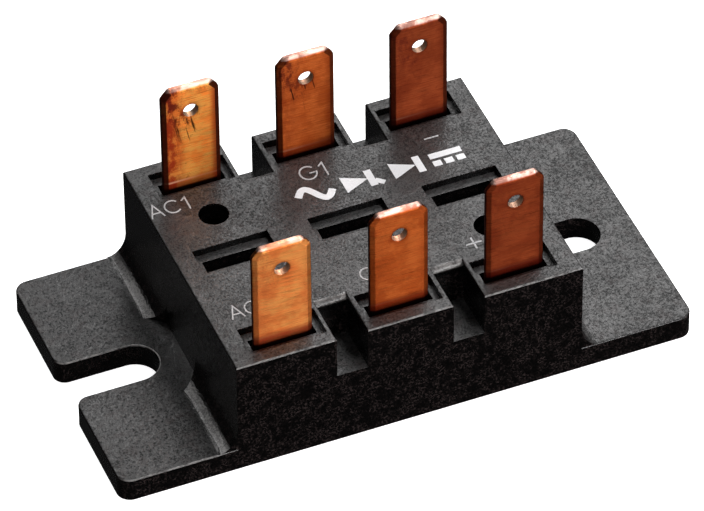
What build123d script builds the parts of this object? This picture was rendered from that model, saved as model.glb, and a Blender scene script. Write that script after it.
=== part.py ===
# Chassis-mount solid state relay module: a thyristor and diode bridge on a ceramic substrate,
# in a flanged plastic housing with six flat quick-connect tabs.
#
# Millimetres. The origin is the middle of the underside, +X runs along the length of the
# flange and +Z points up through the tabs. The front row of terminals is at -Y.

from build123d import *
import os

os.makedirs("parts", exist_ok=True)


# ---------------------------------------------------------------- driving dimensions

column_pitch = 12.7  # terminal columns along X
row_pitch = 12.5  # terminal rows along Y
columns = (-column_pitch, 0, column_pitch)

# flange and body
flange_length = 63.5
flange_width = 31.75
flange_height = 2.75
flange_corner_radius = 1.5
body_length = 38.0
body_height = 14.1
edge_radius = 0.2  # softened outer edges of the flange and body
overlap = 1.0  # how far one solid runs into the next, so the two fuse
tolerance = 0.01

# mounting slots
screw_spacing = 48.5
screw_x = screw_spacing / 2
open_slot_width = 5.2
slot_mouth_radius = 1.3
closed_slot_width = 5.0
closed_slot_length = 7.4
screw_head_radius = 6.65

# curved web between the flange and each end wall of the body
web_length = 2.15
web_height = 2.8

# notches between the terminal towers
notch_width = 3.4
notch_x = 6.4
notch_wall_y = 10.25
notch_floor = 9.05
notch_top_radius = 0.8

# recess around each terminal position, with its slot
recess_length = 8.3
recess_width = 3.75
recess_depth = 0.85
slot_length = 6.95
slot_width = 1.6

# fill holes for the potting
fill_hole_radius = 1.6
fill_hole_y = row_pitch / 2

# base plate and the seam around it
plate_length = 34.6
plate_width = 28.0
plate_height = 3.0
plate_edge_chamfer = 0.25
seam_width = 0.3
seam_recess = 0.2

# cavity
cavity_length = 33.2
cavity_width = 26.6
shoulder_z = 7.5  # underside of the notch floors, and top of the gel
roof_z = 11.8
centre_cavity_width = 17.2
middle_tower_cavity = 7.2
end_tower_cavity = 7.5
potting_gap = 0.4

# ceramic substrate
substrate_length = 31.0
substrate_width = 24.4
ceramic_height = 0.63
copper_height = 0.3
solder_height = 0.1
bottom_copper_margin = 0.6

# dies
thyristor_size = 7.0
diode_size = 5.5
die_height = 0.4
thyristor_x = -0.6
diode_x = -9.6
die_y = 4.2

# terminals
strip_thickness = 0.8
tab_width = 6.35
front_tab_top = 26.4
back_tab_top = 26.9
tab_corner_x = 0.9
tab_corner_z = 1.05
tab_corner_radius = 0.5
tab_bevel_face = 0.5
tab_bevel_edge = 0.2
tab_hole_radius = 0.825
tab_hole_drop = 3.3  # from the tab's top edge to the hole's centre
riser_width = 4.4
tab_shoulder_z = 10.2
foot_length = 2.9
bend_radius = 1.0

# clips and gate leads
clip_thickness = 0.3
clip_bend_radius = 0.4
cathode_clip_width = 3.2
anode_clip_width = 2.0
gate_lead_width = 1.0
gate_lead_foot = 1.0  # on the die
gate_lead_toe = 0.6  # on the gate pad
gate_inset = 0.3  # from the die's outer edge
clip_foot = 2.0
arch_height = 2.2


# ---------------------------------------------------------------- levels, from the base up

bottom_copper_z = plate_height + solder_height
ceramic_z = bottom_copper_z + copper_height
pad_z = ceramic_z + ceramic_height
pad_top = pad_z + copper_height
die_z = pad_top + solder_height
die_top = die_z + die_height
foot_z = pad_top + solder_height
recess_floor = body_height - recess_depth
potting_top = roof_z - potting_gap
tower_cavity_x = cavity_length / 2 - end_tower_cavity / 2


def finish(part, label):
    """Label a finished piece and write it as its own STEP file."""
    part.label = label
    export_step(part, f"parts/{label}.step")


# ---------------------------------------------------------------- housing


def draw_upper_cavity():
    """Outline of the cavity above the notch floors: the middle and the six towers."""
    Rectangle(cavity_length, centre_cavity_width)
    Rectangle(middle_tower_cavity, cavity_width)
    with Locations((-tower_cavity_x, 0), (tower_cavity_x, 0)):
        Rectangle(end_tower_cavity, cavity_width)


with BuildPart() as housing:
    # flange with its mounting slots: open at the -X end, closed at the +X end
    with BuildSketch() as flange:
        RectangleRounded(flange_length, flange_width, flange_corner_radius)
        with Locations((-screw_x, 0)):
            Circle(open_slot_width / 2, mode=Mode.SUBTRACT)
        slot_run = flange_length / 2 - screw_x
        with Locations((-screw_x - slot_run / 2, 0)):
            Rectangle(slot_run, open_slot_width, mode=Mode.SUBTRACT)
        with Locations((screw_x, 0)):
            SlotOverall(closed_slot_length, closed_slot_width, mode=Mode.SUBTRACT)
        mouth = flange.vertices().group_by(Axis.X)[0].filter_by(
            lambda vertex: abs(vertex.Y) < open_slot_width
        )
        fillet(mouth, slot_mouth_radius)
    extrude(amount=flange_height)
    fillet(housing.faces().sort_by(Axis.Z)[-1].outer_wire().edges(), edge_radius)

    # webs up the end walls, cleared around each screw head
    web_foot = body_length / 2 + web_length
    web_root = body_length / 2 - overlap
    for end in (-1, 1):
        with BuildSketch(Plane.XZ):
            with BuildLine():
                EllipticalCenterArc(
                    (end * web_foot, flange_height + web_height),
                    web_length,
                    web_height,
                    start_angle=180 if end > 0 else 270,
                    arc_size=90,
                )
                Polyline(
                    (end * web_foot, flange_height),
                    (end * web_root, flange_height),
                    (end * web_root, flange_height + web_height),
                    (end * body_length / 2, flange_height + web_height),
                )
            make_face()
        extrude(amount=flange_width / 2, both=True)
    with BuildSketch(Plane.XY.offset(flange_height)):
        with Locations((-screw_x, 0), (screw_x, 0)):
            Circle(screw_head_radius)
    extrude(amount=web_height, mode=Mode.SUBTRACT)

    # body block
    with BuildSketch():
        Rectangle(body_length, flange_width)
    extrude(amount=body_height)

    # notches between the towers, front and back
    with BuildSketch(Plane.XY.offset(notch_floor)):
        with GridLocations(2 * notch_x, flange_width, 2, 2):
            Rectangle(notch_width, 2 * (flange_width / 2 - notch_wall_y))
    extrude(amount=body_height - notch_floor, mode=Mode.SUBTRACT)

    # rounded top of each notch's inner wall, and the softened outline of the top face
    notch_tops = housing.faces().sort_by(Axis.Z)[-1].edges().filter_by(
        lambda edge: abs(abs(edge.center().Y) - notch_wall_y) < tolerance
    )
    fillet(notch_tops, notch_top_radius)
    top_outline = housing.faces().sort_by(Axis.Z)[-1].outer_wire().edges().filter_by(
        lambda edge: max(abs(edge.center().Y) - notch_wall_y, abs(edge.center().X) - 2 * notch_x) > 0
    )
    fillet(top_outline, edge_radius)

    # terminal recesses and their slots
    with BuildSketch(Plane.XY.offset(recess_floor)):
        with GridLocations(column_pitch, row_pitch, 3, 3):
            Rectangle(recess_length, recess_width)
    extrude(amount=recess_depth, mode=Mode.SUBTRACT)
    with BuildSketch(Plane.XY.offset(roof_z)):
        with GridLocations(column_pitch, row_pitch, 3, 3):
            Rectangle(slot_length, slot_width)
    extrude(amount=recess_floor - roof_z, mode=Mode.SUBTRACT)

    # fill holes, one in front of a back tower and one behind a front tower
    with BuildSketch(Plane.XY.offset(roof_z)):
        with Locations((-column_pitch, fill_hole_y), (column_pitch, -fill_hole_y)):
            Circle(fill_hole_radius)
    extrude(amount=body_height - roof_z, mode=Mode.SUBTRACT)

    # pocket for the base plate, then the cavity above it
    with BuildSketch():
        Rectangle(plate_length + 2 * seam_width, plate_width + 2 * seam_width)
    extrude(amount=plate_height, mode=Mode.SUBTRACT)
    with BuildSketch(Plane.XY.offset(plate_height)):
        Rectangle(cavity_length, cavity_width)
    extrude(amount=shoulder_z - plate_height, mode=Mode.SUBTRACT)
    with BuildSketch(Plane.XY.offset(shoulder_z)):
        draw_upper_cavity()
    extrude(amount=roof_z - shoulder_z, mode=Mode.SUBTRACT)
finish(housing.part, "housing")


# ---------------------------------------------------------------- base plate and seam

with BuildPart() as base_plate:
    with BuildSketch():
        Rectangle(plate_length, plate_width)
    extrude(amount=plate_height)
    chamfer(base_plate.faces().sort_by(Axis.Z)[0].edges(), plate_edge_chamfer)
finish(base_plate.part, "base_plate")

with BuildPart() as seam:
    with BuildSketch(Plane.XY.offset(seam_recess + plate_edge_chamfer)):
        Rectangle(plate_length + 2 * seam_width, plate_width + 2 * seam_width)
        Rectangle(plate_length, plate_width, mode=Mode.SUBTRACT)
    extrude(amount=plate_height - seam_recess - plate_edge_chamfer)
finish(seam.part, "adhesive_seam")


# ---------------------------------------------------------------- ceramic substrate

with BuildPart() as substrate_solder:
    with BuildSketch(Plane.XY.offset(plate_height)):
        Rectangle(
            substrate_length - 2 * bottom_copper_margin,
            substrate_width - 2 * bottom_copper_margin,
        )
    extrude(amount=solder_height)
finish(substrate_solder.part, "substrate_solder")

with BuildPart() as bottom_copper:
    with BuildSketch(Plane.XY.offset(bottom_copper_z)):
        Rectangle(
            substrate_length - 2 * bottom_copper_margin,
            substrate_width - 2 * bottom_copper_margin,
        )
    extrude(amount=copper_height)
finish(bottom_copper.part, "substrate_bottom_copper")

with BuildPart() as ceramic:
    with BuildSketch(Plane.XY.offset(ceramic_z)):
        Rectangle(substrate_length, substrate_width)
    extrude(amount=ceramic_height)
finish(ceramic.part, "ceramic_substrate")

# Etched top copper: two input pads that carry the dies, two output rails, two gate pads.
pad_edge_x = 14.9
pad_edge_y = 11.6
pad_gap = 1.2
foot_pad_gap = 0.8
foot_pad_y = 8.6
rail_inner_x = 4.8
rail_split_x = 9.7
input_pad_end = 3.6
tongue_width = 5.0
gate_pad_width = 6.0


def add_box_sketch(x_low, x_high, y_low, y_high):
    """One rectangle of a pad, from its limits."""
    with Locations(((x_low + x_high) / 2, (y_low + y_high) / 2)):
        Rectangle(x_high - x_low, y_high - y_low)


def limits(side, y_near, y_far):
    """Lowest and highest Y of a strip on one side of the middle."""
    return sorted((side * y_near, side * y_far))


def input_pad(side, label):
    """Pad under one thyristor and one diode, with a tongue to the input terminal's foot."""
    with BuildPart() as pad:
        with BuildSketch(Plane.XY.offset(pad_z)):
            add_box_sketch(-pad_edge_x, input_pad_end, *limits(side, pad_gap / 2, foot_pad_y - foot_pad_gap))
            add_box_sketch(-pad_edge_x, -pad_edge_x + tongue_width, *limits(side, pad_gap / 2, pad_edge_y))
        extrude(amount=copper_height)
    finish(pad.part, label)
    return pad.part


def gate_pad(side, label):
    """Small pad between a gate lead and its terminal's foot."""
    with BuildPart() as pad:
        with BuildSketch(Plane.XY.offset(pad_z)):
            half = gate_pad_width / 2
            add_box_sketch(-half, half, *limits(side, foot_pad_y, pad_edge_y))
        extrude(amount=copper_height)
    finish(pad.part, label)
    return pad.part


def rail_pad(side, x_low, x_high, label):
    """Output rail along Y, with a bar that widens it under the output terminal's foot."""
    with BuildPart() as pad:
        with BuildSketch(Plane.XY.offset(pad_z)):
            far_end = -side * (foot_pad_y - foot_pad_gap)
            add_box_sketch(x_low, x_high, *sorted((far_end, side * pad_edge_y)))
            add_box_sketch(rail_inner_x, pad_edge_x, *limits(side, foot_pad_y, pad_edge_y))
        extrude(amount=copper_height)
    finish(pad.part, label)
    return pad.part


pads = [
    input_pad(1, "pad_ac1"),
    input_pad(-1, "pad_ac2"),
    gate_pad(1, "pad_gate_1"),
    gate_pad(-1, "pad_gate_2"),
    rail_pad(-1, rail_inner_x, rail_split_x - pad_gap / 2, "pad_plus"),
    rail_pad(1, rail_split_x + pad_gap / 2, pad_edge_x, "pad_minus"),
]


# ---------------------------------------------------------------- dies and their solder


def die(size, x, y, label):
    """A square silicon die with a bevelled top edge."""
    with BuildPart() as chip:
        with BuildSketch(Plane.XY.offset(die_z)):
            with Locations((x, y)):
                Rectangle(size, size)
        extrude(amount=die_height)
        chamfer(chip.faces().sort_by(Axis.Z)[-1].edges(), die_height / 4)
    finish(chip.part, label)
    return chip.part


dies = [
    die(thyristor_size, thyristor_x, die_y, "thyristor_die_1"),
    die(thyristor_size, thyristor_x, -die_y, "thyristor_die_2"),
    die(diode_size, diode_x, die_y, "diode_die_1"),
    die(diode_size, diode_x, -die_y, "diode_die_2"),
]

with BuildPart() as die_solder:
    with BuildSketch(Plane.XY.offset(pad_top)):
        with Locations((thyristor_x, die_y), (thyristor_x, -die_y)):
            Rectangle(thyristor_size, thyristor_size)
        with Locations((diode_x, die_y), (diode_x, -die_y)):
            Rectangle(diode_size, diode_size)
    extrude(amount=solder_height)
finish(die_solder.part, "die_solder")


# ---------------------------------------------------------------- clips and gate leads


def arch_points(start, end):
    """Centre line of a clip in X and Z: foot on a die, arch, foot on a pad."""
    half = clip_thickness / 2
    top = die_top + arch_height
    return [
        (start, die_top + half),
        (start + clip_foot, die_top + half),
        (start + clip_foot, top),
        (end - clip_foot, top),
        (end - clip_foot, pad_top + half),
        (end, pad_top + half),
    ]


def clip(die_x, pad_x, y, width, label):
    """Copper clip along X, from the top of a die to an output rail."""
    with BuildPart() as strip:
        with BuildSketch(Plane.XZ.offset(-y)):
            with BuildLine():
                FilletPolyline(
                    *arch_points(die_x - clip_foot / 2, pad_x + clip_foot / 2),
                    radius=clip_bend_radius,
                )
            trace(line_width=clip_thickness)
        extrude(amount=width / 2, both=True)
    finish(strip.part, label)
    return strip.part


def gate_lead(side, label):
    """Narrow lead along Y, from the gate at the die's outer edge to the gate pad."""
    gate_y = die_y + thyristor_size / 2 - gate_inset
    lead_end_y = foot_pad_y + gate_lead_width / 4
    with BuildPart() as lead:
        with BuildSketch(Plane.YZ.offset(thyristor_x)):
            with BuildLine():
                FilletPolyline(
                    (side * (gate_y - gate_lead_foot), die_top + clip_thickness / 2),
                    (side * gate_y, die_top + clip_thickness / 2),
                    (side * gate_y, die_top + arch_height / 2),
                    (side * lead_end_y, die_top + arch_height / 2),
                    (side * lead_end_y, pad_top + clip_thickness / 2),
                    (side * (lead_end_y + gate_lead_toe), pad_top + clip_thickness / 2),
                    radius=clip_bend_radius,
                )
            trace(line_width=clip_thickness)
        extrude(amount=gate_lead_width / 2, both=True)
    finish(lead.part, label)
    return lead.part


plus_rail_x = (rail_inner_x + rail_split_x - pad_gap / 2) / 2
minus_rail_x = (rail_split_x + pad_gap / 2 + pad_edge_x) / 2
cathode_clip_y = 2.9
anode_clip_y = 5.9
clips = [
    clip(thyristor_x, plus_rail_x, cathode_clip_y, cathode_clip_width, "cathode_clip_1"),
    clip(thyristor_x, plus_rail_x, -cathode_clip_y, cathode_clip_width, "cathode_clip_2"),
    clip(diode_x, minus_rail_x, anode_clip_y, anode_clip_width, "anode_clip_1"),
    clip(diode_x, minus_rail_x, -anode_clip_y, anode_clip_width, "anode_clip_2"),
    gate_lead(1, "gate_lead_1"),
    gate_lead(-1, "gate_lead_2"),
]


# ---------------------------------------------------------------- terminals


def terminal(x, side, label):
    """One bent copper strip: foot on its pad, riser, and the quick-connect tab on top."""
    y = side * row_pitch
    tab_top = back_tab_top if side > 0 else front_tab_top
    with BuildPart() as strip:
        # bent strip, as wide as the tab
        with BuildSketch(Plane.YZ.offset(x)):
            with BuildLine():
                FilletPolyline(
                    (y - side * foot_length, foot_z + strip_thickness / 2),
                    (y, foot_z + strip_thickness / 2),
                    (y, tab_top),
                    radius=bend_radius,
                )
            trace(line_width=strip_thickness)
        extrude(amount=tab_width / 2, both=True)

        # outline seen from the front: narrow riser, shoulders, tab with clipped corners
        half_riser = riser_width / 2
        half_tab = tab_width / 2
        with BuildSketch(Plane.XZ) as outline:
            with BuildLine():
                Polyline(
                    (x - half_riser, 0),
                    (x - half_riser, tab_shoulder_z),
                    (x - half_tab, tab_shoulder_z),
                    (x - half_tab, tab_top - tab_corner_z),
                    (x - half_tab + tab_corner_x, tab_top),
                    (x + half_tab - tab_corner_x, tab_top),
                    (x + half_tab, tab_top - tab_corner_z),
                    (x + half_tab, tab_shoulder_z),
                    (x + half_riser, tab_shoulder_z),
                    (x + half_riser, 0),
                    close=True,
                )
            make_face()
            corners = outline.vertices().filter_by(
                lambda vertex: vertex.Y > tab_top - tab_corner_z - tolerance
            )
            fillet(corners, tab_corner_radius)
        extrude(amount=flange_width, both=True, mode=Mode.INTERSECT)

        # insertion bevel around the tab, on both faces
        for face_side in (-1, 1):
            face = strip.faces().filter_by(Axis.Y).sort_by(
                lambda candidate: face_side * candidate.center().Y + candidate.center().Z
            )[-1]
            rim = face.edges().filter_by(lambda edge: edge.center().Z > tab_shoulder_z + tolerance)
            chamfer(rim, tab_bevel_face, tab_bevel_edge, reference=face)

        # detent hole
        with BuildSketch(Plane.XZ):
            with Locations((x, tab_top - tab_hole_drop)):
                Circle(tab_hole_radius)
        extrude(amount=flange_width, both=True, mode=Mode.SUBTRACT)
    finish(strip.part, label)
    return strip.part


terminals = [
    terminal(columns[0], 1, "terminal_ac1"),
    terminal(columns[1], 1, "terminal_gate_1"),
    terminal(columns[2], 1, "terminal_minus"),
    terminal(columns[0], -1, "terminal_ac2"),
    terminal(columns[1], -1, "terminal_gate_2"),
    terminal(columns[2], -1, "terminal_plus"),
]

with BuildPart() as terminal_solder:
    solder_length = foot_length - bend_radius
    with BuildSketch(Plane.XY.offset(pad_top)):
        for side in (-1, 1):
            for x in columns:
                solder_y = side * (row_pitch - foot_length + solder_length / 2)
                with Locations((x, solder_y)):
                    Rectangle(riser_width, solder_length)
    extrude(amount=solder_height)
finish(terminal_solder.part, "terminal_solder")


# ---------------------------------------------------------------- gel and potting

inner_pieces = [
    substrate_solder.part,
    bottom_copper.part,
    ceramic.part,
    die_solder.part,
    terminal_solder.part,
    *pads,
    *dies,
    *clips,
    *terminals,
]

with BuildPart() as gel:
    with BuildSketch(Plane.XY.offset(plate_height)):
        Rectangle(cavity_length, cavity_width)
    extrude(amount=shoulder_z - plate_height)
    for piece in inner_pieces:
        add(piece, mode=Mode.SUBTRACT)
finish(gel.part, "silicone_gel")

with BuildPart() as potting:
    with BuildSketch(Plane.XY.offset(shoulder_z)):
        draw_upper_cavity()
    extrude(amount=potting_top - shoulder_z)
    for piece in terminals:
        add(piece, mode=Mode.SUBTRACT)
finish(potting.part, "epoxy_potting")
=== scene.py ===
import math

import bmesh
import bpy
from mathutils import Matrix, Vector


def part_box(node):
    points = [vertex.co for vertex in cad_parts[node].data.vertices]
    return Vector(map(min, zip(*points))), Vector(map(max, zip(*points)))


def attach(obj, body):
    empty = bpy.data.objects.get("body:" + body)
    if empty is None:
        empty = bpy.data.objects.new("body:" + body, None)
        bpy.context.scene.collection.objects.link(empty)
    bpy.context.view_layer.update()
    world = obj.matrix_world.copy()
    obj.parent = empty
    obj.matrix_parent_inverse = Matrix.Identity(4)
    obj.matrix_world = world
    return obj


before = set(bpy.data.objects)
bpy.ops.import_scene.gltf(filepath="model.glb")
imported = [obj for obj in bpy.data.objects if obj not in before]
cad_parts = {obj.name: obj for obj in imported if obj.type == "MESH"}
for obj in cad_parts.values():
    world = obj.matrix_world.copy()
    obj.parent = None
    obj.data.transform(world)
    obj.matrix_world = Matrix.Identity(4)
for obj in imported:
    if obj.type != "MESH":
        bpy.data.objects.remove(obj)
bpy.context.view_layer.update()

MM = 0.001


# ---------------------------------------------------------------- sizes and places

TOP_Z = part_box("housing")[1].z  # top face of the housing
STRIP = 0.8 * MM  # thickness of the terminals' copper strip

# in millimetres, as the materials use them
TOP = TOP_Z / MM
HOLE_DROP = 3.3  # from a tab's top edge to its detent hole
WEB_TOP = 5.2  # just below the tops of the webs
WEB_REACH = 24.2  # |X| that takes in the feet of the webs
BODY_END = 19.0  # |X| of the end walls
NOTCH_REACH = 10.4  # |X| that takes in the notches
WALL_SKIN = 15.1  # |Y| just inside the front and back walls


def tab_place(node):
    """Middle of a tab's width and thickness, at its top edge."""
    low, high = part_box(node)
    side = 1 if (low.y + high.y) > 0 else -1
    outer = high.y if side > 0 else low.y
    return Vector(((low.x + high.x) / 2, outer - side * STRIP / 2, high.z))


# ---------------------------------------------------------------- materials


class Shader:
    """A material's node tree, with short calls for the nodes used here. Coordinates are in millimetres."""

    def __init__(self, name, origin=(0, 0, 0)):
        self.material = bpy.data.materials.new("look_" + name)
        self.material.use_nodes = True
        self.tree = self.material.node_tree
        self.tree.nodes.clear()
        output = self.tree.nodes.new("ShaderNodeOutputMaterial")
        self.surface = self.tree.nodes.new("ShaderNodeBsdfPrincipled")
        self.link(self.surface.outputs["BSDF"], output.inputs["Surface"])
        coordinates = self.tree.nodes.new("ShaderNodeTexCoord")
        shifted = self.vector("SUBTRACT", coordinates.outputs["Object"], origin)
        self.mm = self.vector("SCALE", shifted, scale=1 / MM)

    def link(self, source, target):
        self.tree.links.new(source, target)

    def put(self, value, socket):
        """Link an output to a socket, or set a number or colour on it."""
        if isinstance(value, bpy.types.NodeSocket):
            self.link(value, socket)
        else:
            socket.default_value = value

    def set(self, **values):
        """Set the Principled shader's inputs, named with _ for a space."""
        for name, value in values.items():
            self.put(value, self.surface.inputs[name.replace("_", " ")])

    def vector(self, operation, a, b=None, scale=None):
        node = self.tree.nodes.new("ShaderNodeVectorMath")
        node.operation = operation
        self.put(a, node.inputs[0])
        if b is not None:
            self.put(b, node.inputs[1])
        if scale is not None:
            node.inputs["Scale"].default_value = scale
        return node.outputs["Value"] if operation == "DOT_PRODUCT" else node.outputs["Vector"]

    def stretched(self, scale=(1, 1, 1), turn=(0, 0, 0), shift=(0, 0, 0)):
        """The millimetre coordinates, turned (degrees) and then scaled."""
        node = self.tree.nodes.new("ShaderNodeMapping")
        node.vector_type = "POINT"
        node.inputs["Location"].default_value = shift
        node.inputs["Rotation"].default_value = [math.radians(a) for a in turn]
        self.link(self.mm, node.inputs["Vector"])
        return self.vector("MULTIPLY", node.outputs["Vector"], scale)

    def noise(self, size, detail=3.0, roughness=0.55, where=None):
        """Noise whose features are about `size` millimetres across (or 1 / scale of `where`)."""
        node = self.tree.nodes.new("ShaderNodeTexNoise")
        node.inputs["Scale"].default_value = 1 / size
        node.inputs["Detail"].default_value = detail
        node.inputs["Roughness"].default_value = roughness
        self.link(where or self.mm, node.inputs["Vector"])
        return node.outputs["Fac"]

    def ramp(self, value, low, high, out_low=0.0, out_high=1.0):
        """Smooth step from out_low at low to out_high at high."""
        node = self.tree.nodes.new("ShaderNodeMapRange")
        node.interpolation_type = "SMOOTHSTEP"
        limits = {"From Min": low, "From Max": high, "To Min": out_low, "To Max": out_high}
        for name, number in limits.items():
            node.inputs[name].default_value = number
        self.link(value, node.inputs["Value"])
        return node.outputs["Result"]

    def below(self, value, limit, blur=0.2):
        """1 below the limit and 0 above it, smooth within the blur to each side."""
        return self.ramp(value, limit - blur, limit + blur, 1.0, 0.0)

    def math(self, operation, a, b=0.0):
        node = self.tree.nodes.new("ShaderNodeMath")
        node.operation = operation
        self.put(a, node.inputs[0])
        self.put(b, node.inputs[1])
        return node.outputs[0]

    def times(self, *factors):
        result = factors[0]
        for factor in factors[1:]:
            result = self.math("MULTIPLY", result, factor)
        return result

    def most(self, *values):
        """The largest of the values."""
        result = values[0]
        for value in values[1:]:
            result = self.math("MAXIMUM", result, value)
        return result

    def mix(self, factor, a, b):
        """Colour mix. A Mix node has sockets for each data type; its colour set is 6, 7 and out 2."""
        node = self.tree.nodes.new("ShaderNodeMix")
        node.data_type = "RGBA"
        self.put(factor, node.inputs[0])
        self.put(a, node.inputs[6])
        self.put(b, node.inputs[7])
        return node.outputs[2]

    def axis(self, vector, name):
        node = self.tree.nodes.new("ShaderNodeSeparateXYZ")
        self.link(vector, node.inputs[0])
        return node.outputs[name]

    def true_normal(self):
        return self.tree.nodes.new("ShaderNodeNewGeometry").outputs["True Normal"]

    def rounded_normal(self, radius_mm):
        node = self.tree.nodes.new("ShaderNodeBevel")
        node.samples = 6
        node.inputs["Radius"].default_value = radius_mm * MM
        return node.outputs["Normal"]

    def place(self, axis):
        """Where the surface is along an axis, in millimetres."""
        return self.axis(self.mm, axis)

    def distance(self, axis):
        """How far the surface is from the middle along an axis, in millimetres."""
        return self.math("ABSOLUTE", self.place(axis))

    def slope(self, axis):
        """How far the surface faces along an axis, from -1 to 1."""
        return self.axis(self.true_normal(), axis)

    def facing(self, axis):
        """How far the surface faces along an axis, from 0 to 1, either way."""
        return self.math("ABSOLUTE", self.slope(axis))

    def near(self, point, reach_x, reach_z):
        """1 at a point in the X-Z plane, falling to 0 at an ellipse around it."""
        scale = (1 / reach_x, 0.0, 1 / reach_z)
        offset = self.vector("MULTIPLY", self.vector("SUBTRACT", self.mm, point), scale)
        return self.ramp(self.vector("DOT_PRODUCT", offset, offset), 0.15, 1.0, 1.0, 0.0)

    def bump(self, height, depth_mm, normal=None):
        node = self.tree.nodes.new("ShaderNodeBump")
        node.inputs["Distance"].default_value = depth_mm * MM
        self.link(height, node.inputs["Height"])
        if normal is not None:
            self.link(normal, node.inputs["Normal"])
        return node.outputs["Normal"]


def web_foot_highlight(s, shade):
    """Painted highlight where the hollow foot of the left web meets the flange: a pale strip, fading towards
    the back.
    """
    sloping = s.times(s.ramp(s.slope("Z"), 0.68, 0.84), s.ramp(s.slope("Z"), 0.975, 0.999, 1.0, 0.0))
    hollow = s.times(sloping, s.ramp(s.slope("X"), -0.03, -0.15))
    at_web = s.times(s.below(s.place("Z"), WEB_TOP), s.below(s.distance("X"), WEB_REACH))
    fade = s.ramp(s.place("Y"), 10.5, 15.5, 1.0, 0.25)
    return s.times(hollow, at_web, fade, s.ramp(shade, 0.40, 0.58, 0.35, 1.0))


def rim_highlight(s, mottle):
    """Painted highlight on the front and back rims of the flange and body, mottled, as far as the right end
    wall.
    """
    rim = s.times(s.ramp(s.slope("Z"), 0.15, 0.45), s.ramp(s.facing("Y"), 0.15, 0.45))
    return s.times(rim, s.ramp(mottle, 0.38, 0.58, 0.25, 1.0), s.below(s.place("X"), BODY_END), 0.9)


def painted_wall_shade(s):
    """Painted shade on the walls of the recesses and notches, and on the left end: black and sleek."""
    height = s.place("Z")
    recess = s.times(s.ramp(height, TOP - 1.6, TOP - 1.0), s.ramp(height, TOP - 0.25, TOP - 0.12, 1.0, 0.0))
    recess = s.times(recess, s.below(s.distance("Y"), WALL_SKIN, 0.1))
    notch = s.times(s.facing("X"), s.below(s.distance("X"), NOTCH_REACH))
    left_end = s.ramp(s.slope("X"), -0.5, -0.9, 0.0, 0.6)
    return s.times(s.most(recess, notch, left_end), s.ramp(s.slope("Z"), 0.1, 0.3, 1.0, 0.0))


def moulded_plastic():
    """Glass-filled black moulding compound: near-black, with painted light on top: upward faces get a paler
    colour, with the compound's grain in it.
    """
    s = Shader("moulded_plastic")
    grain = s.noise(0.26, detail=2, roughness=0.75)
    fine = s.noise(0.15, detail=2, roughness=0.7)
    mottle = s.noise(0.9, detail=4, roughness=0.65)
    cloud = s.noise(7.0, detail=3, roughness=0.55)
    warm = s.ramp(s.noise(1.4, detail=4, roughness=0.65), 0.50, 0.64)
    # bare compound, as it shows on the walls
    base = s.mix(s.ramp(grain, 0.46, 0.62), (0.0002, 0.0002, 0.0002, 1), (0.0310, 0.0225, 0.0218, 1))
    base = s.mix(s.ramp(mottle, 0.42, 0.60, 0.0, 0.90), base, (0.0008, 0.0007, 0.0007, 1))
    # painted light on top: a paler, grainy colour on upward faces
    shade = s.math("ADD", s.times(grain, 0.40), s.times(fine, 0.30))
    shade = s.math("ADD", shade, s.math("ADD", s.times(mottle, 0.16), s.times(cloud, 0.14)))
    painted_top_light = s.mix(s.ramp(shade, 0.42, 0.62), (0.0008, 0.0008, 0.0008, 1), (0.092, 0.0890, 0.0890, 1))
    painted_top_light = s.mix(s.times(warm, 0.25), painted_top_light, (0.030, 0.014, 0.013, 1))
    base = s.mix(s.ramp(s.slope("Z"), 0.72, 0.85), base, painted_top_light)
    # painted highlights at the web's foot and on the rims, and painted shade on the sheltered walls
    base = s.mix(web_foot_highlight(s, shade), base, (0.70, 0.68, 0.67, 1))
    base = s.mix(rim_highlight(s, mottle), base, (0.20, 0.19, 0.185, 1))
    base = s.mix(painted_wall_shade(s), base, (0.0004, 0.0003, 0.0003, 1))
    rough = s.times(s.ramp(shade, 0.42, 0.58, 0.42, 0.0), s.ramp(s.slope("Z"), 0.5, 0.8, 0.3, 1.0))
    s.set(Base_Color=base, Roughness=s.math("ADD", rough, 0.15), Specular_IOR_Level=0.36)
    bumps = s.math("ADD", s.times(grain, 0.8), s.times(mottle, 0.9))
    s.set(Normal=s.bump(bumps, 0.05, s.rounded_normal(0.06)))
    return s.material


def tarnish(s, spots, amount):
    """Stains near the tab's top corner and below its hole, spots all over, and dirt at the top edge."""
    patches = s.most(s.near((-2.3, 0, -1.5), 1.9, 3.4), s.near((-0.9, 0, -HOLE_DROP - 1.0), 1.5, 1.9))
    stain = s.times(s.ramp(spots, 0.44, 0.60), patches, 0.95 * amount)
    scattered = s.times(s.ramp(spots, 0.60, 0.72), 0.45 * amount)
    top_dirt = s.times(s.ramp(s.place("Z"), -1.6, -0.1), s.ramp(spots, 0.40, 0.60), 0.55)
    return s.most(stain, scattered, s.times(top_dirt, min(1.0, 0.3 + amount)))


def foot_shade_and_highlight(s, colour, red, edge_shade, foot_shade, level):
    """Painted shade as a redder foot, a painted highlight as a thin bright line above it, and a painted
    shadow in black in the recess, below the housing's top face.
    """
    height = s.place("Z")
    # painted shade: redder towards the foot
    colour = s.mix(s.ramp(height, level + 0.9, level - 0.1, 0.0, foot_shade), colour, red)
    # painted highlight: a thin bright line just above the foot
    line = s.times(s.ramp(height, level, level + 0.15), s.ramp(height, level + 0.2, level + 0.4, 1.0, 0.0))
    line = s.times(line, s.ramp(s.place("X"), -2.6, 1.0, 0.6, 0.15), edge_shade * edge_shade)
    colour = s.mix(line, colour, (1.0, 0.60, 0.38, 1))
    # painted shadow: black in the recess
    return s.mix(s.ramp(height, level - 0.45, level - 0.75, 0.0, 0.97), colour, (0.006, 0.001, 0.001, 1))


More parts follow.
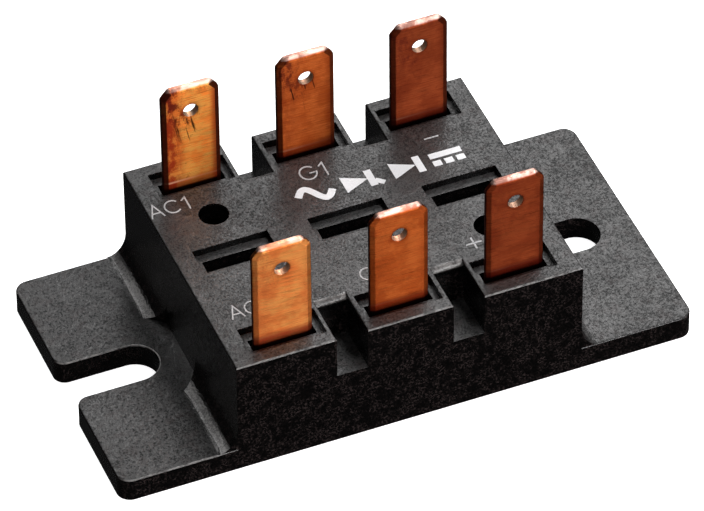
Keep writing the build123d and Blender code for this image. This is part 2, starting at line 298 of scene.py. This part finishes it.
def edge_colours(s, colour, cloud, bevel_shade):
    """Dark sheared sides, painted shade on the bevels, and a painted highlight in a pale colour along the
    top edge.
    """
    # painted shade on the side bevels
    bevel = s.ramp(s.facing("X"), 0.05, 0.30, 0.0, bevel_shade)
    sheared = s.ramp(s.facing("X"), 0.55, 0.9, 0.0, 0.97)
    colour = s.mix(s.most(bevel, sheared), colour, (0.060, 0.010, 0.005, 1))
    # painted highlight: a pale, patchy colour along the top edge
    patchy_mask = s.times(s.ramp(s.place("Z"), -0.42, -0.18), s.ramp(s.facing("Z"), 0.1, 0.3))
    patchy_mask = s.times(patchy_mask, s.ramp(cloud, 0.62, 0.46, 0.25, 1.0), 0.85)
    return s.mix(patchy_mask, colour, (0.98, 0.70, 0.60, 1))


def bare_copper(name, clean, aged, wear, seed):
    """Brushed copper strip, lightly tarnished, with painted shade and highlights at its edges, foot and
    hole. Coordinates start in the middle of the tab's top edge.
    """
    stains, scratches, edge_shade, bevel_shade, foot_shade = wear
    place = tab_place(name)
    s = Shader(name, place)
    shift = (seed * 17.3, seed * 5.1, seed * 29.7)
    brush = s.noise(1.0, detail=4, roughness=0.7, where=s.stretched((0.28, 1.0, 5.5), shift=shift))
    fine_brush = s.noise(1.0, detail=2, roughness=0.6, where=s.stretched((0.45, 1.0, 15.0), shift=shift))
    cloud = s.noise(2.4, detail=5, roughness=0.6, where=s.stretched(shift=shift))
    spots = s.noise(0.75, detail=5, roughness=0.7, where=s.stretched((1.0, 1.0, 0.6), shift=shift))
    dark = (aged[0] * 0.42, aged[1] * 0.24, aged[2] * 0.30, 1)
    red = (aged[0] * 0.34, aged[1] * 0.11, aged[2] * 0.26, 1)
    colour = s.mix(s.ramp(cloud, 0.40, 0.62, 0.0, 0.8), clean, aged)
    colour = s.mix(s.ramp(brush, 0.44, 0.64, 0.0, 0.65), colour, aged)
    colour = s.mix(s.ramp(fine_brush, 0.52, 0.70, 0.0, 0.6), colour, dark)
    # painted shade: the rolled faces turn darker red towards their long edges, most at the left
    left = s.times(s.ramp(s.place("X"), -0.3, -2.2), s.ramp(spots, 0.38, 0.56, 0.45, 1.0))
    right = s.times(s.ramp(s.place("X"), 1.9, 2.7), 0.85)
    colour = s.mix(s.times(s.most(left, right), edge_shade), colour, red)
    stain = tarnish(s, spots, stains)
    colour = s.mix(stain, colour, (0.110, 0.014, 0.008, 1))
    colour = foot_shade_and_highlight(s, colour, red, edge_shade, foot_shade, TOP - place.z / MM)
    # a few upright scratches below the hole
    upright = s.noise(1.0, detail=4, where=s.stretched((4.2, 1.0, 0.30), turn=(0, 12, 0), shift=shift))
    scratch = s.times(s.ramp(upright, 0.60, 0.66), s.near((-0.5, 0, -HOLE_DROP - 1.6), 2.3, 3.2), scratches)
    colour = s.mix(scratch, colour, (0.040, 0.010, 0.005, 1))
    colour = edge_colours(s, colour, cloud, bevel_shade)
    # painted highlight on the wall of the punched hole, in a pale, less metallic colour, and a reddened rim
    # around it
    hole = (0, 0, -HOLE_DROP)
    ring = s.times(s.near(hole, 1.35, 1.35), s.ramp(s.facing("Y"), 0.6, 0.9))
    colour = s.mix(s.times(ring, 0.45), colour, red)
    bore_highlight = s.times(s.near(hole, 1.1, 1.1), s.ramp(s.facing("Y"), 0.3, 0.6, 1.0, 0.0))
    colour = s.mix(s.times(bore_highlight, 0.9), colour, (1.0, 0.72, 0.52, 1))
    rough = s.math("ADD", s.ramp(brush, 0.3, 0.7, 0.40, 0.58), s.times(stain, 0.2))
    metallic = s.ramp(bore_highlight, 0.0, 1.0, 1.0, 0.7)
    s.set(Base_Color=colour, Metallic=metallic, Roughness=rough, Anisotropic=0.75, Anisotropic_Rotation=0.25)
    tangent = s.tree.nodes.new("ShaderNodeTangent")
    tangent.direction_type = "RADIAL"
    tangent.axis = "Z"
    s.set(Tangent=tangent.outputs["Tangent"])
    lines = s.math("ADD", s.times(brush, 0.8), s.times(fine_brush, 0.5))
    lines = s.math("SUBTRACT", lines, s.times(scratch, 0.8))
    s.set(Normal=s.bump(lines, 0.018, s.rounded_normal(0.22)))
    return s.material


def plate_nickel():
    """Nickel-plated base plate, ground flat: fine lines along its length and a few scratches."""
    s = Shader("plate_nickel")
    lines = s.noise(1.0, detail=4, roughness=0.6, where=s.stretched((0.12, 14.0, 1.0)))
    cloud = s.noise(7.0, detail=5)
    scratch = s.noise(1.0, detail=1, where=s.stretched((0.25, 9.0, 1.0), turn=(0, 0, 33)))
    marks = s.ramp(scratch, 0.70, 0.76)
    colour = s.mix(s.ramp(cloud, 0.35, 0.7), (0.64, 0.61, 0.56, 1), (0.50, 0.48, 0.45, 1))
    colour = s.mix(s.times(marks, 0.5), colour, (0.28, 0.27, 0.26, 1))
    s.set(Base_Color=colour, Metallic=1.0, Roughness=s.ramp(cloud, 0.3, 0.7, 0.26, 0.40))
    s.set(Normal=s.bump(s.math("SUBTRACT", lines, marks), 0.006, s.rounded_normal(0.1)))
    return s.material


def inner_metal(name, light, dark, grain_mm, roughness):
    """Clean inner metal: etched copper, clips, leads or solder, with a fine cloudy grain."""
    s = Shader(name)
    cloud = s.noise(1.8, detail=5)
    grain = s.noise(grain_mm, detail=3)
    s.set(
        Base_Color=s.mix(s.ramp(cloud, 0.35, 0.65), light, dark),
        Metallic=1.0,
        Roughness=s.ramp(grain, 0.3, 0.7, roughness - 0.08, roughness + 0.08),
        Normal=s.bump(grain, grain_mm / 10, s.rounded_normal(0.04)),
    )
    return s.material


def inner_solid(name, light, dark, grain_mm, roughness, transmission=0.0):
    """Inner ceramic, silicon, gel, potting or adhesive: cloudy colour and a fine surface grain."""
    s = Shader(name)
    cloud = s.noise(2.2, detail=5)
    grain = s.noise(grain_mm, detail=4)
    s.set(
        Base_Color=s.mix(s.ramp(cloud, 0.35, 0.65), light, dark),
        Roughness=s.ramp(grain, 0.3, 0.7, roughness - 0.06, roughness + 0.06),
        Transmission_Weight=transmission,
        Normal=s.bump(grain, grain_mm / 12),
    )
    return s.material


def print_ink(name, tone, worn_tone, wear):
    """Pad-printed ink: a thin film, worn through in places to the grain below."""
    s = Shader(name)
    grain = s.noise(0.12, detail=3, roughness=0.7)
    patchy_mask = s.ramp(grain, 0.56, 0.66, 0.0, wear)
    s.set(
        Base_Color=s.mix(patchy_mask, (tone, tone, tone * 1.02, 1), (worn_tone, worn_tone, worn_tone, 1)),
        Roughness=s.ramp(grain, 0.3, 0.7, 0.45, 0.62),
        Normal=s.bump(grain, 0.02),
    )
    return s.material


def paint(piece, material):
    for one_slot in piece.material_slots:
        one_slot.link = "OBJECT"
        one_slot.material = material


SLOT_MATERIALS = {
    "moulded_plastic": moulded_plastic(),
    "plate_nickel": plate_nickel(),
    "inner_copper": inner_metal("inner_copper", (0.90, 0.50, 0.33, 1), (0.72, 0.34, 0.20, 1), 0.15, 0.35),
    "solder": inner_metal("solder", (0.58, 0.58, 0.57, 1), (0.42, 0.42, 0.42, 1), 0.3, 0.42),
    "ceramic": inner_solid("ceramic", (0.82, 0.81, 0.78, 1), (0.74, 0.73, 0.70, 1), 0.08, 0.55),
    "silicon": inner_solid("silicon", (0.10, 0.11, 0.13, 1), (0.06, 0.065, 0.08, 1), 0.4, 0.22),
    "gel": inner_solid("gel", (0.88, 0.90, 0.90, 1), (0.82, 0.85, 0.86, 1), 1.5, 0.15, transmission=0.9),
    "epoxy": inner_solid("epoxy", (0.005, 0.005, 0.005, 1), (0.012, 0.011, 0.011, 1), 0.5, 0.45),
    "adhesive": inner_solid("adhesive", (0.030, 0.030, 0.031, 1), (0.018, 0.018, 0.018, 1), 0.25, 0.55),
}

# copper tones, gold at the left to russet at the right: partly the copper's own tone, partly painted light
# and shade
BRIGHT_GOLD = ((1.0, 0.47, 0.10, 1), (1.0, 0.26, 0.038, 1))
GOLD = ((0.92, 0.380, 0.100, 1), (0.78, 0.200, 0.046, 1))
AMBER = ((0.62, 0.145, 0.030, 1), (0.42, 0.076, 0.014, 1))
RUSSET = ((0.30, 0.058, 0.018, 1), (0.20, 0.032, 0.010, 1))
TABS = {
    # node: (clean and aged copper), (stains, scratches, edge shade, bevel shade, foot shade), seed
    "terminal_ac1": (BRIGHT_GOLD, (0.90, 0.9, 0.95, 0.92, 0.6), 1),
    "terminal_gate_1": (AMBER, (0.80, 0.9, 0.45, 0.55, 0.7), 2),
    "terminal_minus": (RUSSET, (0.60, 0.3, 0.30, 0.55, 0.7), 3),
    "terminal_ac2": (GOLD, (0.20, 0.1, 0.20, 0.0, 0.8), 4),
    "terminal_gate_2": (AMBER, (0.12, 0.1, 0.20, 0.0, 0.8), 5),
    "terminal_plus": (RUSSET, (0.25, 0.15, 0.20, 0.0, 0.8), 6),
}

for node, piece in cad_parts.items():
    if node in TABS:
        (clean, aged), wear, seed = TABS[node]
        paint(piece, bare_copper(node, clean, aged, wear, seed))
    else:
        paint(piece, SLOT_MATERIALS[piece.material_slots[0].material.name.split(".")[0]])


# ---------------------------------------------------------------- pad print on the top face

INK_HEIGHT = 0.02  # millimetres
INK_STEP = 0.001  # each outline of a print is this much higher than the last, so no two tops coincide
THIN_INK = print_ink("thin_ink", 0.52, 0.08, 0.8)
BOLD_INK = print_ink("bold_ink", 0.90, 0.55, 0.35)


def extruded(mesh, outline, height):
    """A flat patch of ink from an outline in X and Y, with its side walls."""
    low = [mesh.verts.new((x, y, 0)) for x, y in outline]
    high = [mesh.verts.new((x, y, height)) for x, y in outline]
    mesh.faces.new(high)
    mesh.faces.new(low[::-1])
    for i, first in enumerate(low):
        following = (i + 1) % len(low)
        mesh.faces.new((first, low[following], high[following], high[i]))


SHARPEST_MITRE = 0.4  # least cosine of half a corner's turn, so that sharp corners don't spike


def stroke(points, width):
    """Outline of a line of constant width through the points, with mitred corners."""
    points = [Vector(point) for point in points]
    sides = ([], [])
    for i, point in enumerate(points):
        before = (point - points[i - 1]).normalized() if i else None
        after = (points[i + 1] - point).normalized() if i + 1 < len(points) else None
        along = ((before or after) + (after or before)).normalized()
        across = Vector((-along.y, along.x))
        reach = width / 2 / max(SHARPEST_MITRE, abs(along.dot(after or before)))
        sides[0].append(point + across * reach)
        sides[1].append(point - across * reach)
    return [tuple(point) for point in sides[1] + sides[0][::-1]]


def arc(x, y, radius_x, radius_y, start, end, steps=18):
    """Points of an elliptical arc around x, y, between two angles in degrees."""
    angles = [math.radians(start + (end - start) * i / steps) for i in range(steps + 1)]
    return [(x + radius_x * math.cos(a), y + radius_y * math.sin(a)) for a in angles]


def ink(name, outlines, x, y, size, material):
    """One print: outlines in units of its size, from its lower left corner at x, y in millimetres."""
    mesh = bmesh.new()
    for i, outline in enumerate(outlines):
        scaled = [((x + u * size) * MM, (y + v * size) * MM) for u, v in outline]
        extruded(mesh, scaled, (INK_HEIGHT + INK_STEP * i) * MM)
    bmesh.ops.recalc_face_normals(mesh, faces=mesh.faces)
    data = bpy.data.meshes.new(name)
    mesh.to_mesh(data)
    mesh.free()
    data.materials.append(material)
    piece = bpy.data.objects.new(name, data)
    bpy.context.scene.collection.objects.link(piece)
    piece.location.z = TOP_Z
    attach(piece, "root")


LETTERS = {
    # strokes in units of the cap height, and the width of each letter
    "A": ([[(0.04, 0), (0.40, 1), (0.76, 0)], [(0.19, 0.34), (0.61, 0.34)]], 0.80),
    "C": ([arc(0.47, 0.5, 0.43, 0.47, 42, 318)], 0.90),
    "G": ([arc(0.47, 0.5, 0.43, 0.47, 42, 350) + [(0.90, 0.46), (0.52, 0.46)]], 0.95),
    "1": ([[(0.05, 0.76), (0.30, 0.96), (0.30, 0)]], 0.42),
    "2": ([arc(0.33, 0.68, 0.27, 0.27, 165, -35, 12) + [(0.05, 0.05), (0.64, 0.05)]], 0.66),
}
LETTER_GAP = 0.10
LETTER_STROKE = 0.085


def lettering(name, text, x, y, height):
    """One print of letters in a row, from its lower left corner and its cap height in millimetres."""
    outlines, start = [], 0.0
    for letter in text:
        strokes, width = LETTERS[letter]
        for points in strokes:
            outlines.append(stroke([(start + u, v) for u, v in points], LETTER_STROKE))
        start += width + LETTER_GAP
    ink(name, outlines, x, y, height, THIN_INK)


DESIGNATIONS = {
    # piece: text, lower left corner, cap height
    "print_ac1": ("AC1", -18.85, 7.95, 1.95),
    "print_g1": ("G1", -2.40, 7.20, 2.10),
    "print_ac2": ("AC2", -16.75, -9.10, 1.90),
    "print_g2": ("G2", -2.40, -9.10, 1.90),
}
for name, (text, x, y, height) in DESIGNATIONS.items():
    lettering(name, text, x, y, height)

# minus and plus, in units of their length; the plus's upright is in two halves, clear of its bar
SIGN_STROKE = 0.11
BAR_CLEARANCE = 0.07
MINUS = [(0, 0), (1, 0)]
PLUS = [[(-0.5, 0), (0.5, 0)], [(0, BAR_CLEARANCE), (0, 0.5)], [(0, -BAR_CLEARANCE), (0, -0.5)]]
ink("print_minus", [stroke(MINUS, SIGN_STROKE)], 11.6, 8.33, 1.62, THIN_INK)
ink("print_plus", [stroke(line, SIGN_STROKE) for line in PLUS], 10.2, -8.13, 1.75, THIN_INK)

# a row of plain circuit symbols, in units of their height: alternating current in, thyristor, diode,
# direct current out
SYMBOL_STROKE = 0.32
WAVE_STEPS = 24
WAVE = [
    (1.55 * i / WAVE_STEPS, 0.5 + 0.40 * math.sin(2 * math.pi * i / WAVE_STEPS))
    for i in range(WAVE_STEPS + 1)
]
SYMBOLS = [
    stroke(WAVE, SYMBOL_STROKE),
    [(2.05, 0.0), (3.15, 0.5), (2.05, 1.0)],
    stroke([(3.29, 0.0), (3.29, 1.0)], SYMBOL_STROKE),
    stroke([(3.42, 0.30), (3.75, 0.02)], SYMBOL_STROKE * 0.8),
    [(4.25, 0.0), (5.35, 0.5), (4.25, 1.0)],
    stroke([(5.49, 0.0), (5.49, 1.0)], SYMBOL_STROKE),
    stroke([(6.05, 0.72), (7.50, 0.72)], SYMBOL_STROKE),
    stroke([(6.05, 0.24), (6.43, 0.24)], SYMBOL_STROKE),
    stroke([(6.585, 0.24), (6.965, 0.24)], SYMBOL_STROKE),
    stroke([(7.12, 0.24), (7.50, 0.24)], SYMBOL_STROKE),
]
ink("print_symbols", SYMBOLS, -3.80, 3.85, 2.45, BOLD_INK)


# ---------------------------------------------------------------- floor, light and camera

STAGE_REACH = 2.0  # half the floor's width, and the radius and half the height of the backdrop
BACKDROP_SIDES = 64
paper = Shader("floor_paper")
paper_tone = paper.noise(60.0, detail=2)
paper.set(
    Base_Color=paper.mix(paper_tone, (0.84, 0.84, 0.84, 1), (0.87, 0.87, 0.87, 1)),
    Roughness=0.9,
    Specular_IOR_Level=0.1,
    Emission_Color=(1, 1, 1, 1),
    Emission_Strength=1.0,
)


def stage_piece(name, corners, faces):
    """A piece of the pale stage. It glows like a light table, with its glow kept off the object."""
    mesh = bpy.data.meshes.new(name)
    mesh.from_pydata(corners, [], faces)
    mesh.materials.append(paper.material)
    piece = bpy.data.objects.new(name, mesh)
    bpy.context.scene.collection.objects.link(piece)
    piece.visible_glossy = False
    piece.visible_diffuse = False
    piece.visible_shadow = False


square = [(x * STAGE_REACH, y * STAGE_REACH, 0) for x, y in ((-1, -1), (1, -1), (1, 1), (-1, 1))]
stage_piece("floor", square, [(0, 1, 2, 3)])
ring = [2 * math.pi * i / BACKDROP_SIDES for i in range(BACKDROP_SIDES)]
wall = [
    (math.cos(angle) * STAGE_REACH, math.sin(angle) * STAGE_REACH, end * STAGE_REACH)
    for end in (-1, 1)
    for angle in ring
]
panels = [(i, (i + 1) % BACKDROP_SIDES) for i in range(BACKDROP_SIDES)]
stage_piece("backdrop", wall, [(i, j, j + BACKDROP_SIDES, i + BACKDROP_SIDES) for i, j in panels])


def soft_light(name, direction, distance, width, height, power):
    """A soft box that looks at the object from a direction."""
    data = bpy.data.lights.new(name, "AREA")
    data.shape = "RECTANGLE"
    data.size = width
    data.size_y = height
    data.energy = power
    lamp = bpy.data.objects.new(name, data)
    bpy.context.scene.collection.objects.link(lamp)
    towards = Vector(direction).normalized()
    lamp.location = towards * distance
    lamp.rotation_euler = towards.to_track_quat("Z", "Y").to_euler()


LIGHTS = {
    # name: direction, distance, width and height in metres, power in watts
    "back_box": ((0.44, 0.60, 0.67), 0.26, 0.17, 0.16, 0.31),
    "left_back_strip": ((-0.10, 0.68, 0.70), 0.50, 0.05, 0.16, 0.28),
    "top_box": ((0.26, 0.10, 0.96), 0.30, 0.07, 0.07, 0.38),
    "front_strip": ((0.36, -0.88, 0.34), 0.60, 0.16, 0.34, 2.5),
    "left_bevel_strip": ((-0.36, -0.88, 0.34), 0.60, 0.12, 0.34, 0.65),
    "right_bevel_strip": ((0.86, -0.39, 0.34), 0.60, 0.12, 0.34, 0.8),
}
for name, settings in LIGHTS.items():
    soft_light(name, *settings)

world = bpy.data.worlds.new("studio")
world.use_nodes = True
background = world.node_tree.nodes["Background"]
background.inputs["Color"].default_value = (0.8, 0.8, 0.82, 1)
background.inputs["Strength"].default_value = 0.03
bpy.context.scene.world = world

CAMERA_AZIMUTH = -21.96
CAMERA_ELEVATION = 43.28
CAMERA_ROLL = -0.62
CAMERA_DISTANCE = 0.70778
CAMERA_LENS = 348.2
CAMERA_SENSOR = 36
CAMERA_TARGET = Vector((1.64, 3.96, 5.0)) * MM

azimuth, elevation = math.radians(CAMERA_AZIMUTH), math.radians(CAMERA_ELEVATION)
back = Vector((
    math.sin(azimuth) * math.cos(elevation),
    -math.cos(azimuth) * math.cos(elevation),
    math.sin(elevation),
))
camera_data = bpy.data.cameras.new("camera")
camera_data.lens = CAMERA_LENS
camera_data.sensor_width = CAMERA_SENSOR
camera_data.clip_start = 0.01
camera = bpy.data.objects.new("camera", camera_data)
bpy.context.scene.collection.objects.link(camera)
right = (-back).cross(Vector((0, 0, 1))).normalized()
up = right.cross(-back)
turn = Matrix((right, up, back)).transposed() @ Matrix.Rotation(math.radians(CAMERA_ROLL), 3, "Z")
camera.matrix_world = Matrix.Translation(CAMERA_TARGET + back * CAMERA_DISTANCE) @ turn.to_4x4()
bpy.context.scene.camera = camera

bpy.context.scene.view_settings.view_transform = "Standard"
